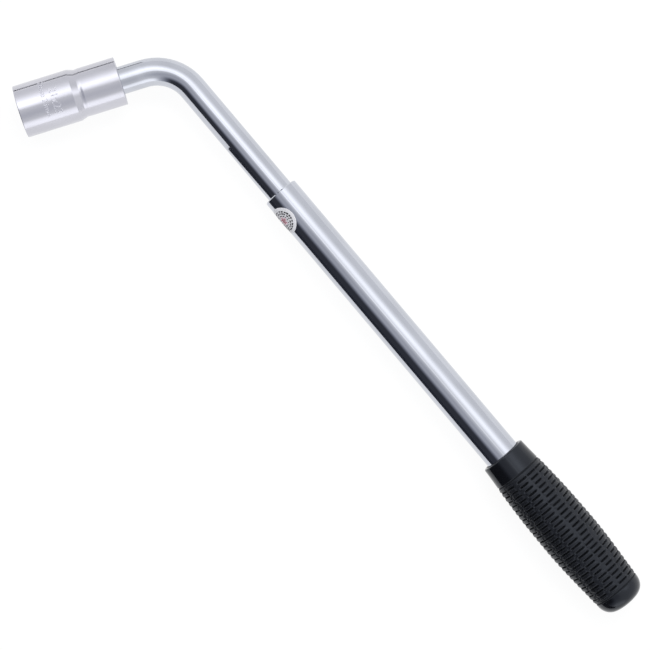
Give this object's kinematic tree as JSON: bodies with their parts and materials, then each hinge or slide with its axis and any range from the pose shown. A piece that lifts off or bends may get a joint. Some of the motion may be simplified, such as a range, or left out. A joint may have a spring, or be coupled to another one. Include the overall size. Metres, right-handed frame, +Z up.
{
  "type": "lug wrench",
  "caption": "Telescopic L-shaped lug wrench: double-ended hex socket on a bent bar that slides in a tube with a ribbed rubber grip.",
  "frame": {"origin": "centre of the socket's nose face", "axes": "+Y along the socket's axis into the tool, +Z up with the tool lying flat, +X towards the grip's side of the bend"},
  "size_m": [0.3875, 0.2541, 0.0324],
  "materials": {
    "socket_chrome": "satin chromed steel",
    "bar_chrome": "bright chromed steel",
    "tube_chrome": "bright chromed steel tube",
    "hard_steel": "hardened ground steel",
    "spring_steel": "drawn spring wire",
    "button_steel": "zinc-plated turned steel",
    "bush_brass": "bored brass sleeve",
    "plug_plastic": "moulded black plastic",
    "grip_rubber": "satin moulded rubber",
    "label_paper": "printed film label"
  },
  "bodies": {
    "rod": {"drive_rod": "bar_chrome", "drive_detent_spring": "spring_steel", "lock_button_spring": "spring_steel"},
    "stop_ring": {"stop_ring": "hard_steel"},
    "handle": {"outer_tube": "tube_chrome", "guide_bush": "bush_brass", "tube_end_plug": "plug_plastic", "grip": "grip_rubber", "inspection_label": "label_paper"},
    "lock_button": {"lock_button": "button_steel"},
    "detent_ball": {"drive_detent_ball": "hard_steel"},
    "socket": {"socket": "socket_chrome"}
  },
  "joints": [
    {"name": "handle_turn", "type": "hinge", "parent": "rod", "child": "stop_ring", "pos_m": [0.21138, 0.17786, 0], "axis": [0.9239, 0.3827, 0], "range_deg": [-360, 360]},
    {"name": "handle_slide", "type": "slide", "parent": "stop_ring", "child": "handle", "axis": [0.9239, 0.3827, 0], "range_m": [-0.065, 0.095]},
    {"name": "lock_button_press", "type": "slide", "parent": "rod", "child": "lock_button", "axis": [0, 0, -1], "range_m": [0, 0.0038], "stiffness_N_per_m": 800, "springref_m": 0.0045, "deforming": ["lock_button_spring"]},
    {"name": "detent_ball_spring", "type": "slide", "parent": "rod", "child": "detent_ball", "axis": [0, 0, -1], "range_m": [0, 0.0008], "stiffness_N_per_m": 1000, "springref_m": 0.0015, "deforming": ["drive_detent_spring"]},
    {"name": "socket_pull", "type": "slide", "parent": "rod", "child": "socket", "axis": [0, -1, 0], "range_m": [0, 0.045]}
  ]
}
